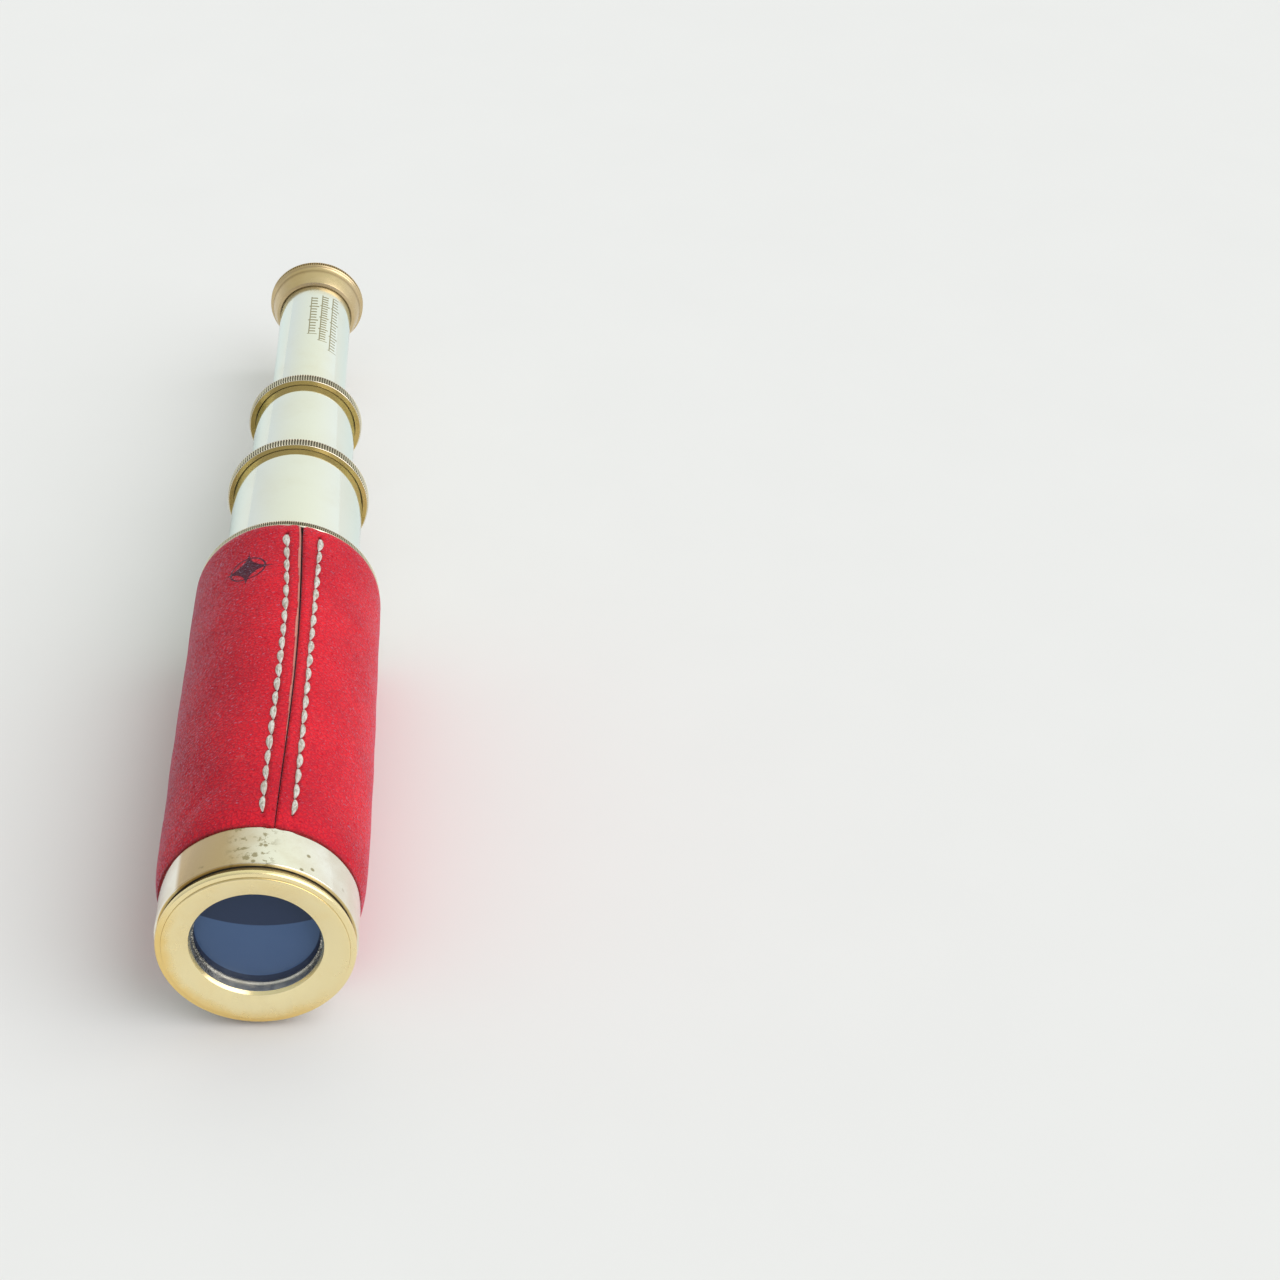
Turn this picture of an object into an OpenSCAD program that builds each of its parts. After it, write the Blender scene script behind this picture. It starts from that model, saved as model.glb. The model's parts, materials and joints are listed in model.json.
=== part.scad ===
// Brass telescope with three draw tubes in a leather covered barrel, lying on its side.
// The optical axis runs along +Y, from the objective to the eyecup, and +Z is up.
// A profile is a list of [radius, distance behind the objective's front face].

/* [Barrel] */
// Length from the objective's front face to the back of the barrel's end ring
barrel_len = 127; // [120:1:140]
// Outer radius of the barrel tube
barrel_r = 20.2; // [20.1:0.1:20.4]
// Wall of the barrel tube
barrel_wall = 0.6; // [0.5:0.1:0.8]
// Radius over the knurled band of the end ring
end_ring_r = 21.8; // [21.2:0.1:22]
// Thickness of the end ring's knurled band
end_ring_len = 2.1; // [1.8:0.1:3]

/* [Objective] */
// Radius of the flat front face
face_r = 19.9; // [19.6:0.1:20]
// Radius of the clear opening
aperture_r = 13.6; // [12:0.1:14]
// Depth of the front face's dish at the opening
dish_depth = 1.7; // [1:0.1:2]
// Radius over the polished sleeve
sleeve_r = 21.15; // [21:0.05:21.5]
// Length of the polished sleeve
sleeve_len = 11.4; // [9:0.2:14]
// Radius of the objective lens
objective_lens_r = 16.4; // [15:0.1:16.5]

/* [Leather] */
// Outer radius of the leather
leather_r = 22.2; // [22:0.1:22.8]
// Width of the open butt seam
seam_gap = 0.8; // [0.6:0.1:1.2]
// Turn of the seam from the top, towards +X
seam_turn = 12; // [-30:1:30]
// Angle from the seam to each row of stitches
stitch_turn = 9; // [7:0.5:12]
// Stitches in each row
stitch_count = 20; // [16:1:24]
// Diameter of the waxed thread
thread_d = 0.9; // [0.7:0.1:1]
// Depth of the flat that the leather has taken along the line it lies on
rest_flat = 0.2; // [0.15:0.05:0.4]

/* [Draw tubes] */
// Outer radius of the first draw tube
draw_1_r = 16.25; // [16.1:0.05:16.4]
// Outer radius of the second draw tube
draw_2_r = 13.05; // [12.9:0.05:13.2]
// Outer radius of the third draw tube
draw_3_r = 9.75; // [9.5:0.05:9.8]
// Wall of the draw tubes
draw_wall = 0.5; // [0.4:0.05:0.6]
// How far the first tube stands out as modelled
draw_1_out = 40.3; // [20:0.1:70]
// How far the second tube stands out as modelled
draw_2_out = 33.8; // [20:0.1:70]
// How far the third tube stands out as modelled
draw_3_out = 56.1; // [20:0.1:70]
// How far each tube stands out when it is pulled against its stop
draw_reach = 72.5; // [72:0.5:76]

/* [Collars] */
// Radius over the first collar's knurled band
collar_1_r = 17.8; // [17.6:0.1:18.4]
// Radius over the second collar's knurled band
collar_2_r = 14.75; // [14.5:0.05:15.2]
// Length of the first collar outside its tube
collar_1_len = 2.5; // [2.2:0.1:5]
// Length of the second collar outside its tube
collar_2_len = 2.6; // [2.2:0.1:5]
// Distance from a collar's back to the front of its guide bush
bush_len = 12; // [11:0.5:14]
// Length of the stop rings at the draw tubes' front ends
stop_len = 5; // [4:0.5:6]

/* [Eyepiece] */
// Radius over the eyecup's knurled rim
eyecup_r = 12.9; // [12.6:0.1:13.4]
// Length of the eyecup
eyecup_len = 8.1; // [8:0.1:9]
// Radius of the eye hole
eye_hole_r = 4; // [3:0.1:5]
// Length of the erector's tube
erector_len = 30; // [26:1:36]
// Length of the eyepiece's tube
eyepiece_len = 32; // [28:1:38]

/* [Hidden] */

spin_facets = 96;
slide_fit = 0.05;       // radial clearance of everything that slides
joint_gap = 0.02;       // radial clearance of what is screwed or soldered together
chamfer = 0.25;

// Stations along the axis, measured back from the objective's front face
bead_at = 1.4;          // crest of the half-round bead on the cell
bead_r = 1.05;
shoulder_at = 3.1;      // where the cell's flange meets the barrel tube and the sleeve
lens_seat_at = 4.9;
lens_ring_len = 2.4;
cell_end = 13.4;
sleeve_end = shoulder_at + sleeve_len;
end_ring_front = barrel_len - end_ring_len;
collar_1_front = barrel_len + draw_1_out;
collar_1_back = collar_1_front + collar_1_len;
collar_2_front = collar_1_back + draw_2_out;
collar_2_back = collar_2_front + collar_2_len;
eyecup_front = collar_2_back + draw_3_out;
total_len = eyecup_front + eyecup_len;

// A stop ring lies this far in front of its own collar when the tube is at full reach
stop_back_from_collar = draw_reach + bush_len;
stop_lip = 0.6;         // the stop ring's lip over the tube's front end
collar_slot = 1.2;      // depth of the slot in a collar that takes the tube's back end

barrel_in = barrel_r - barrel_wall;
axis_height = leather_r - rest_flat;
draw_1_in = draw_1_r - draw_wall;
draw_2_in = draw_2_r - draw_wall;
draw_3_in = draw_3_r - draw_wall;

felt_len = 5;
felt_depth = 1;
felt_from_back = 7.5;   // from a collar's back to the front of its felt band

// Objective doublet: curve radii are positive where the face bends back from its centre
crown_front = 110;
crown_back = -80;
crown_thick = 4.8;
flint_thick = 2;
crown_at = lens_seat_at - bend(aperture_r, crown_front) + joint_gap;

// Erector and eyepiece lenses
small_lens_r = 8.2;
small_lens_seat = 1.2;  // width of the ridge that each small lens rests on
small_ring_len = 1.5;
seat_depth = 4;         // from a small tube's end to its lens ridge
tube_in = small_lens_r + joint_gap;
ridge_r = small_lens_r - 1;
erector_curve = 26;
erector_thick = 3.8;
field_curve = 24;
eye_curve = 20;
eye_lens_thick = 3.4;
draw_3_front = eyecup_front - stop_back_from_collar - stop_len;
erector_at = draw_3_front + stop_lip;
eyecup_web = 2.6;       // from the eyecup's front lip to its web
eyepiece_at = eyecup_front + eyecup_web - eyepiece_len;
ring_inner = small_lens_r - 1.1;
erector_back = erector_at + erector_len;
eyepiece_back = eyepiece_at + eyepiece_len;
// Centres of the small lenses' front faces; a curved face rests on the inner edge of its ridge
erector_sag = bend(ridge_r, erector_curve) - joint_gap;
erector_front_at = erector_at + seat_depth + erector_sag - erector_thick;
erector_rear_at = erector_back - seat_depth - erector_sag;
field_lens_at = eyepiece_at + seat_depth - eye_lens_thick;
eye_lens_at = eyepiece_back - seat_depth;

brass_colour = "#e6dba6";
gold_brass = "#c9a54a";
black_brass = "#2b2926";
glass_colour = [0.55, 0.66, 0.8, 0.5];

// How far a lens face with this curve has moved back at this radius
function bend(r, curve) = curve == 0 ? 0 : sign(curve) * (abs(curve) - sqrt(curve * curve - r * r));

// Points of a lens face from radius a to radius b
function lens_face(at, curve, a, b, steps = 8) =
    [for (i = [0:steps]) let (r = a + (b - a) * i / steps) [r, at + bend(r, curve)]];

// Points of an arc in a profile, with 0 degrees straight out from the axis
function arc(r, at, radius, from, to, steps = 10) =
    [for (i = [0:steps]) let (a = from + (to - from) * i / steps)
        [r + radius * cos(a), at + radius * sin(a)]];

module on_axis() translate([0, -total_len / 2, axis_height]) rotate([-90, 0, 0]) children();

module turned(profile) on_axis() rotate_extrude($fn = spin_facets) polygon(profile);

module tube(outer, inner, front, back)
    turned([[inner, front], [outer, front], [outer, back], [inner, back]]);

module lens(r, at, thick, front_curve, back_curve)
    turned(concat(lens_face(at, front_curve, 0, r), lens_face(at + thick, back_curve, r, 0)));

// Points along a bore, from its front to its back, with the groove for a felt band
function felted_bore(bore, back) =
    let (groove = bore + felt_depth, front = back - felt_from_back)
        [[bore, front], [groove, front], [groove, front + felt_len], [bore, front + felt_len]];

// A knurled collar: flat front with a slot for its own tube, bush for the next tube, felt groove
module collar(band_r, tube_out, tube_inner, bore, front, back)
    let (slot = front + collar_slot)
        turned(concat(
            [[bore, back - bush_len], [tube_inner - joint_gap, back - bush_len],
             [tube_inner - joint_gap, slot], [tube_out + joint_gap, slot],
             [tube_out + joint_gap, front], [band_r - 0.4, front], [band_r, front + 0.5],
             [band_r, back - chamfer], [band_r - chamfer, back], [bore, back]],
            [for (i = [3:-1:0]) felted_bore(bore, back)[i]]));

module felt_band(bore, back)
    let (front = back - felt_from_back)
        tube(bore + felt_depth - joint_gap, bore, front + joint_gap, front + felt_len - joint_gap);

// The ring at a draw tube's front end: it guides the tube and stops it against the bush
module stop_ring(tube_out, outer_bore, collar_front)
    let (back = collar_front - stop_back_from_collar, front = back - stop_len,
         outer = outer_bore - slide_fit, lip = tube_out - draw_wall)
        turned([[lip, front], [outer - chamfer, front], [outer, front + chamfer],
                [outer, back - chamfer], [outer - chamfer, back], [tube_out + joint_gap, back],
                [tube_out + joint_gap, front + stop_lip], [lip, front + stop_lip]]);

module draw_tube(outer, collar_front, back)
    tube(outer, outer - draw_wall, collar_front - stop_back_from_collar - stop_len + stop_lip, back);

// A blackened tube with a lens ridge near each end
module lens_tube(at, len)
    let (outer = draw_3_in - joint_gap, far = at + len)
        turned([[tube_in, at], [outer, at], [outer, far], [tube_in, far],
                [tube_in, far - seat_depth], [ridge_r, far - seat_depth],
                [ridge_r, far - seat_depth - small_lens_seat], [tube_in, far - seat_depth - small_lens_seat],
                [tube_in, at + seat_depth + small_lens_seat], [ridge_r, at + seat_depth + small_lens_seat],
                [ridge_r, at + seat_depth], [tube_in, at + seat_depth]]);

// A threaded ring that holds a small lens, in front of it or behind it
module ring_before(lens_at, curve)
    let (back = lens_at + bend(ring_inner, curve) - joint_gap)
        tube(small_lens_r, ring_inner, back - small_ring_len, back);

module ring_behind(lens_back, curve)
    let (front = lens_back + bend(ring_inner, curve) + joint_gap)
        tube(small_lens_r, ring_inner, front, front + small_ring_len);

module disc_stop(at, hole_r) tube(small_lens_r, hole_r, at, at + 0.8);

// Barrel

module barrel_tube() color(brass_colour) tube(barrel_r, barrel_in, shoulder_at, end_ring_front);

module objective_sleeve() color(brass_colour)
    let (inner = barrel_r + joint_gap)
        turned([[inner, shoulder_at], [sleeve_r - 0.15, shoulder_at], [sleeve_r, shoulder_at + 0.15],
                [sleeve_r, sleeve_end], [inner, sleeve_end]]);

module objective_cell() color(gold_brass)
    let (bore = objective_lens_r + 0.1, spigot = barrel_in - joint_gap, neck = barrel_r - 0.1,
         wall_at = dish_depth)
        turned(concat(
            [[aperture_r, wall_at], [face_r - 0.9, 0], [face_r, 0], [face_r + 0.2, 0.35]],
            arc(face_r + 0.05, bead_at, bead_r, -60, 80),
            [[neck, bead_at + bead_r + 0.1], [neck, shoulder_at], [spigot, shoulder_at],
             [spigot, cell_end], [bore, cell_end], [bore, lens_seat_at], [aperture_r, lens_seat_at]]));

module crown_lens() color(glass_colour)
    lens(objective_lens_r, crown_at, crown_thick, crown_front, crown_back);

module flint_lens() color(glass_colour)
    lens(objective_lens_r, crown_at + crown_thick, flint_thick, crown_back, 0);

module objective_retaining_ring() color(black_brass)
    let (front = crown_at + crown_thick + flint_thick, outer = objective_lens_r + 0.1 - joint_gap)
        tube(outer, aperture_r + 0.4, front, front + lens_ring_len);

module leather_wrap() color("#b02434")
    difference() {
        turned([[barrel_r + joint_gap, sleeve_end], [sleeve_r + 0.15, sleeve_end],
                [sleeve_r + 0.55, sleeve_end + 2.5], [leather_r - 0.15, sleeve_end + 6],
                [leather_r, sleeve_end + 9], [leather_r, end_ring_front - 2],
                [leather_r - 0.3, end_ring_front], [barrel_r + joint_gap, end_ring_front]]);
        on_axis() rotate([0, 0, seam_turn]) translate([-seam_gap / 2, -leather_r - 1, 0])
            cube([seam_gap, leather_r / 2, barrel_len]);
        translate([-leather_r / 2, -total_len / 2, -1]) cube([leather_r, barrel_len, 1]);
    }

// One stitch row: short threads end to end on the leather, turned this far from the top
module stitch_row(turn)
    let (first = sleeve_end + 5, last = end_ring_front - 5.5, pitch = (last - first) / stitch_count)
        on_axis() rotate([0, 0, turn])
            for (i = [0:stitch_count - 1])
                translate([0, -leather_r - thread_d / 2 - joint_gap, first + (i + 0.1) * pitch])
                    cylinder(d = thread_d, h = pitch * 0.8, $fn = 8);

module stitch_row_left() color("#dcd8c8") stitch_row(seam_turn - stitch_turn);

module stitch_row_right() color("#dcd8c8") stitch_row(seam_turn + stitch_turn);

module barrel_end_ring() color(gold_brass)
    let (bore = draw_1_r + slide_fit, spigot = barrel_in - joint_gap, back = barrel_len)
        turned(concat(
            [[bore, back - bush_len], [spigot, back - bush_len], [spigot, end_ring_front],
             [end_ring_r - chamfer, end_ring_front], [end_ring_r, end_ring_front + chamfer],
             [end_ring_r, back - chamfer], [end_ring_r - chamfer, back], [bore, back]],
            [for (i = [3:-1:0]) felted_bore(bore, back)[i]]));

module barrel_felt_band() color("#3a2420") felt_band(draw_1_r + slide_fit, barrel_len);

// First draw

module draw_tube_1() color(brass_colour)
    draw_tube(draw_1_r, collar_1_front, collar_1_front + collar_slot);

module draw_1_collar() color(gold_brass)
    collar(collar_1_r, draw_1_r, draw_1_in, draw_2_r + slide_fit, collar_1_front, collar_1_back);

module draw_1_felt_band() color("#3a2420") felt_band(draw_2_r + slide_fit, collar_1_back);

module draw_1_stop_ring() color(gold_brass) stop_ring(draw_1_r, barrel_in, collar_1_front);

// Second draw

module draw_tube_2() color(brass_colour)
    draw_tube(draw_2_r, collar_2_front, collar_2_front + collar_slot);

module draw_2_collar() color(gold_brass)
    collar(collar_2_r, draw_2_r, draw_2_in, draw_3_r + slide_fit, collar_2_front, collar_2_back);

module draw_2_felt_band() color("#3a2420") felt_band(draw_3_r + slide_fit, collar_2_back);

module draw_2_stop_ring() color(gold_brass) stop_ring(draw_2_r, draw_1_in, collar_2_front);

// Third draw

module draw_tube_3() color(brass_colour)
    draw_tube(draw_3_r, eyecup_front, eyecup_front + eyecup_web);

module draw_3_stop_ring() color(gold_brass) stop_ring(draw_3_r, draw_2_in, eyecup_front);

module erector_tube() color(black_brass) lens_tube(erector_at, erector_len);

module erector_front_lens() color(glass_colour)
    lens(small_lens_r, erector_front_at, erector_thick, erector_curve, -erector_curve);

module erector_front_ring() color(black_brass) ring_before(erector_front_at, erector_curve);

module erector_diaphragm() color(black_brass) disc_stop(erector_at + erector_len / 2 - 0.4, 2.2);

module erector_rear_lens() color(glass_colour)
    lens(small_lens_r, erector_rear_at, erector_thick, erector_curve, -erector_curve);

module erector_rear_ring() color(black_brass)
    ring_behind(erector_rear_at + erector_thick, -erector_curve);

module eyepiece_tube() color(black_brass) lens_tube(eyepiece_at, eyepiece_len);

module field_lens() color(glass_colour)
    lens(small_lens_r, field_lens_at, eye_lens_thick, field_curve, 0);

module field_lens_ring() color(black_brass) ring_before(field_lens_at, field_curve);

module field_stop() color(black_brass) disc_stop(eyepiece_at + eyepiece_len / 2 + 3, 5);

module eye_lens() color(glass_colour) lens(small_lens_r, eye_lens_at, eye_lens_thick, 0, -eye_curve);

module eye_lens_ring() color(black_brass) ring_behind(eye_lens_at + eye_lens_thick, -eye_curve);

// The eyecup: a full front dome, a shallow cove behind it and a flare up to the knurled rim
module eyecup() color(gold_brass)
    let (f = eyecup_front, back = total_len, web = f + eyecup_web, lip = draw_3_r + 0.2,
         dome = lip + 0.8, shoulder = eyecup_r - 0.9, band = back - 1.5, hole_top = web + 1.4,
         rim = eyecup_r - 1.3)
        turned(concat(
            [[eye_hole_r, web], [draw_3_r + joint_gap, web], [draw_3_r + joint_gap, f], [lip, f]],
            [for (t = [0:0.2:1]) [dome + (shoulder - dome) * (t + 0.35 * t * (1 - t)),
                                  f + 0.25 + 4.1 * t]],
            [[shoulder + 0.1, f + 4.9], [shoulder + 0.3, f + 5.6], [shoulder + 0.6, f + 6.2],
             [eyecup_r, band], [eyecup_r, back - chamfer], [eyecup_r - chamfer, back], [rim, back]],
            [for (a = [15:15:75]) [rim - (rim - eye_hole_r) * (1 - cos(a)),
                                   back - (back - hole_top) * sin(a)]],
            [[eye_hole_r, hole_top]]));

barrel_tube();
objective_sleeve();
objective_cell();
crown_lens();
flint_lens();
objective_retaining_ring();
leather_wrap();
stitch_row_left();
stitch_row_right();
barrel_end_ring();
barrel_felt_band();
draw_tube_1();
draw_1_collar();
draw_1_felt_band();
draw_1_stop_ring();
draw_tube_2();
draw_2_collar();
draw_2_felt_band();
draw_2_stop_ring();
draw_tube_3();
draw_3_stop_ring();
erector_tube();
erector_front_lens();
erector_front_ring();
erector_diaphragm();
erector_rear_lens();
erector_rear_ring();
eyepiece_tube();
field_lens();
field_lens_ring();
field_stop();
eye_lens();
eye_lens_ring();
eyecup();
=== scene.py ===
"""Looks of the brass telescope: turned and knurled brass, polished draw tubes, stitched red leather and
coated glass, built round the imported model."""

import json
import math
from collections import namedtuple

import bpy
import numpy as np
from mathutils import Matrix, Vector


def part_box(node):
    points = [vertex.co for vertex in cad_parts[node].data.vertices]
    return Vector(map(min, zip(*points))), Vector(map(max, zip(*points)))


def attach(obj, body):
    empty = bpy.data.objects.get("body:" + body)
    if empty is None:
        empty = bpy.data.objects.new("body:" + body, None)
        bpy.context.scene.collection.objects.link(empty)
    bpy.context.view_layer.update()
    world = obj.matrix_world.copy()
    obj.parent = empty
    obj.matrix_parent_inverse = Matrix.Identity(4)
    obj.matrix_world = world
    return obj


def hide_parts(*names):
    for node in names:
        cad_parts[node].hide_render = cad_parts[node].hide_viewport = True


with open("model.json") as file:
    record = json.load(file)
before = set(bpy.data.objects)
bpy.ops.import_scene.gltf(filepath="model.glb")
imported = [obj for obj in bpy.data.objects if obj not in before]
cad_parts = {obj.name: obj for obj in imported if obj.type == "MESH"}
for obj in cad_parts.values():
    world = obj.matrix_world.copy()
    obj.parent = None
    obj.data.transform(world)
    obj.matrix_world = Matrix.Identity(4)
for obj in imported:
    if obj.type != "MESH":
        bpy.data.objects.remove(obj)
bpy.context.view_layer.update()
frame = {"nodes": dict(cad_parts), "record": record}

MM = 0.001
FULL_TURN = 2 * math.pi
SCENE = bpy.context.scene

# Where things are. s is the distance in mm behind the objective's front face, r is a radius in mm, and turn
# is the angle in radians round the optical axis, from the top towards +X.

FRONT_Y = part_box("objective_cell")[0][1]
AXIS_Z = (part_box("objective_cell")[0][2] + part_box("objective_cell")[1][2]) / 2
Span = namedtuple("Span", "front back r")


def span(name):
    """Where a turned CAD node begins and ends, and its outer radius."""
    lo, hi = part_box(name)
    return Span((lo[1] - FRONT_Y) / MM, (hi[1] - FRONT_Y) / MM, (hi[0] - lo[0]) / 2 / MM)


BARREL_TUBE = span("barrel_tube")
SLEEVE = span("objective_sleeve")
LENS = span("crown_lens")
LEATHER = span("leather_wrap")
END_RING = span("barrel_end_ring")
TUBES = {i: span(f"draw_tube_{i}") for i in (1, 2, 3)}
COLLARS = {i: span(f"draw_{i}_collar") for i in (1, 2)}
CUP = span("eyecup")

# Sizes in mm that the boxes of the nodes don't tell
THREAD_GAP = 0.02
BARREL_BORE = 19.6
APERTURE_R = 13.6
CELL_LEN = 13.4
END_RING_LEN = 2.1
END_RING_BORE = 16.3
BUSH_LEN = 12.0
BUSH_WALL_GAP = 0.52
COLLAR_LEN = {1: 2.5, 2: 2.6}
COLLAR_BORE = {1: 13.1, 2: 9.8}
TUBE_WALL = 0.5
EYE_HOLE_R = 4.0
CUP_WEB = 1.4
END_RING_TEETH = 260
COLLAR_TEETH = {1: 158, 2: 140}
CUP_TEETH = 130


def place(r, s, turn):
    """The point at a radius, station and turn, for numbers or arrays."""
    x = r * np.sin(turn) * MM
    z = AXIS_Z + r * np.cos(turn) * MM
    return np.stack(np.broadcast_arrays(x, FRONT_Y + s * MM, z), -1)


# Node trees


class Tree:
    """A material's node tree, with short calls for the nodes used here: the t of the functions below."""

    def __init__(self, name):
        self.material = bpy.data.materials.new(name)
        self.material.use_nodes = True
        self.nodes, self.links = self.material.node_tree.nodes, self.material.node_tree.links
        self.nodes.clear()
        self.shader = self.node("BsdfPrincipled")
        out = self.node("OutputMaterial")
        self.links.new(self.shader.outputs[0], out.inputs["Surface"])
        self.place = self.node("TexCoord").outputs["Object"]
        self.uv = self.node("UVMap", {"uv_map": "Unrolled"}).outputs["UV"]

    def node(self, kind, settings=None, inputs=None):
        made = self.nodes.new("ShaderNode" + kind)
        for key, value in (settings or {}).items():
            setattr(made, key, value)
        for key, value in (inputs or {}).items():
            self.feed(made.inputs[key], value)
        return made

    def feed(self, socket, value):
        if isinstance(value, bpy.types.NodeSocket):
            self.links.new(value, socket)
        else:
            socket.default_value = value

    def set(self, **inputs):
        """Sets sockets of the shader, with _ for each space in their names."""
        for key, value in inputs.items():
            self.feed(self.shader.inputs[key.replace("_", " ")], value)

    def math(self, operation, a, b=0.0):
        return self.node("Math", {"operation": operation}, {0: a, 1: b}).outputs[0]

    def plus(self, a, b):
        return self.math("ADD", a, b)

    def minus(self, a, b):
        return self.math("SUBTRACT", a, b)

    def times(self, a, b):
        return self.math("MULTIPLY", a, b)

    def larger(self, a, b):
        return self.math("MAXIMUM", a, b)

    def unsigned(self, a):
        return self.math("ABSOLUTE", a)

    def length(self, a, b):
        """Length of the vector (a, b)."""
        return self.math("SQRT", self.plus(self.times(a, a), self.times(b, b)))

    def scaled(self, coordinate, x, y):
        """The coordinate with its first two parts multiplied by x and y."""
        inputs = {"Vector": coordinate, "Scale": (x, y, 1)}
        return self.node("Mapping", {"vector_type": "POINT"}, inputs).outputs[0]

    def noise(self, coordinate, scale, detail=3.0, roughness=0.5, distortion=0.0):
        inputs = {"Vector": coordinate, "Scale": scale, "Detail": detail, "Roughness": roughness}
        return self.node("TexNoise", None, {**inputs, "Distortion": distortion}).outputs["Fac"]

    def cells(self, coordinate, scale, feature="F1"):
        inputs = {"Vector": coordinate, "Scale": scale}
        return self.node("TexVoronoi", {"feature": feature}, inputs).outputs["Distance"]

    def step(self, value, low, high, out_low=0.0, out_high=1.0):
        """Smooth step from out_low at low to out_high at high."""
        inputs = {"Value": value, "From Min": low, "From Max": high, "To Min": out_low, "To Max": out_high}
        return self.node("MapRange", {"interpolation_type": "SMOOTHSTEP"}, inputs).outputs[0]

    def mix(self, share, a, b):
        """Colour a, turning into colour b as share goes from 0 to 1."""
        made = self.node("Mix", {"data_type": "RGBA"})
        self.feed(made.inputs[0], share)
        self.feed(made.inputs[6], a if isinstance(a, bpy.types.NodeSocket) else (*a, 1))
        self.feed(made.inputs[7], b if isinstance(b, bpy.types.NodeSocket) else (*b, 1))
        return made.outputs[2]

    def attribute(self, name):
        return self.node("Attribute", {"attribute_name": name}).outputs["Fac"]

    def bump(self, height, distance, strength=1.0):
        inputs = {"Height": height, "Distance": distance, "Strength": strength}
        return self.node("Bump", None, inputs).outputs[0]

    def split(self, vector):
        return self.node("SeparateXYZ", None, {0: vector}).outputs


# Brass


def brass(
    name,
    colour,
    tarnish,
    dark,
    rough,
    streak,
    grime_share,
    stains=None,
    marks=None,
    grooves=0.0,
    edge=(1.0, 1.0, 1.0),
):
    """Turned or drawn brass. streak, grooves: strength of the fine lines round the axis and along it.
    grime_share: how much tarnish shows. stains(t) gives a share of tarnish and a share of dark spots, and
    marks(t) a share of engraved line. edge: the tint of what it mirrors at a grazing angle."""
    t = Tree(name)
    patches = t.noise(t.place, 55, 5, 0.6)
    fine = t.noise(t.place, 420, 4, 0.6)
    lines = t.noise(t.scaled(t.uv, 25, 6000), 1.0, 3, 0.6)
    lengthways = t.noise(t.scaled(t.uv, 1400, 22), 1.0, 3, 0.6)
    height = t.plus(t.times(lines, streak), t.times(lengthways, grooves))
    stain = t.times(t.step(patches, 0.42, 0.72), grime_share)
    spots = 0.0
    if stains:
        share, spots = stains(t)
        stain = t.larger(stain, share)
    base = t.mix(spots, t.mix(stain, colour, tarnish), dark)
    if marks:
        cut = marks(t)
        base = t.mix(t.times(cut, 0.84), base, dark)
        height = t.minus(height, t.times(cut, 2.0))
    # Painted shade: darker where the mesh's shade attribute is set, in knurl valleys, coves and joints
    # between parts.
    base = t.mix(t.times(t.attribute("painted_shade"), 0.9), base, dark)
    gloss = t.plus(t.step(fine, 0.3, 0.8, rough * 0.75, rough * 1.3), t.times(stain, 0.14))
    gloss = t.plus(gloss, t.times(t.attribute("painted_shade"), 0.35))
    t.set(Base_Color=base, Metallic=1.0, Roughness=gloss, Specular_Tint=(*edge, 1))
    t.set(Normal=t.bump(height, 0.02 * MM))
    return t.material


def sleeve_stains(t):
    """Old tarnish on the left, a cluster of blotches at the top and small round spots all round."""
    x, _, _ = t.split(t.uv)
    ragged = t.plus(x, t.times(t.noise(t.place, 90, 4, 0.6), 9 * MM))
    left = t.times(t.step(x, -18.5 * MM, -16.5 * MM), t.step(ragged, 9.5 * MM, -1.5 * MM))
    cloud = t.step(t.noise(t.place, 60, 5, 0.65), 0.40, 0.66)
    share = t.larger(t.times(left, 0.95), t.times(cloud, 0.28))
    from_top = t.unsigned(t.plus(x, 0.5 * MM))
    cluster = t.step(from_top, 6.5 * MM, 2.0 * MM, 0.0, 0.75)
    blotches = t.times(t.step(t.noise(t.place, 420, 4, 0.65), 0.52, 0.60), cluster)
    scattered = t.step(t.noise(t.place, 75, 2), 0.47, 0.56, 0.0, 0.8)
    spots = t.times(t.step(t.cells(t.place, 330), 0.20, 0.10), scattered)
    return share, t.larger(blotches, spots)


def ring_tarnish_and_reflection(t):
    """Warmer tarnish towards the rim of the objective ring, with a painted reflection that makes it strongest
    on the lower left.
    """
    x, _, z = t.split(t.place)
    height = t.minus(z, AXIS_Z)
    ragged = t.plus(t.length(x, height), t.times(t.noise(t.place, 220, 4, 0.6), 3 * MM))
    # Painted reflection: the warm tarnish is strongest on the lower left and weakest at the upper right.
    low = t.step(t.plus(height, t.times(x, 0.8)), 2 * MM, -14 * MM, 0.15, 0.85)
    return t.times(t.step(ragged, 18.2 * MM, 21.3 * MM), low), 0.0


def wall_stains(t):
    """Dark speckles on the aperture's wall, thick at its sides and thin at the bottom."""
    x, _, _ = t.split(t.place)
    side = t.step(t.unsigned(x), 6 * MM, 12.5 * MM, 0.1, 0.95)
    speckle = t.step(t.noise(t.place, 3000, 3, 0.6), 0.62, 0.38)
    thick = t.math("POWER", speckle, t.step(side, 0.2, 1.0, 3.0, 0.6))
    return 0.0, t.times(side, thick)


def cup_stains(t):
    """Warm dull tarnish on the last draw tube where it enters the eyecup."""
    _, y, _ = t.split(t.uv)
    ragged = t.plus(y, t.times(t.noise(t.place, 160, 4, 0.6), 5 * MM))
    cup_y = FRONT_Y + CUP.front * MM
    return t.step(ragged, cup_y - 2.8 * MM, cup_y + 1.2 * MM), 0.0


# The engraved scales: the middle of each across the tube, its pitch, and where it begins and ends
SCALES = ((0.4, 1.5, 236, 256), (3.3, 1.25, 233, 257.5), (6.3, 1.5, 229.5, 258))


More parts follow.
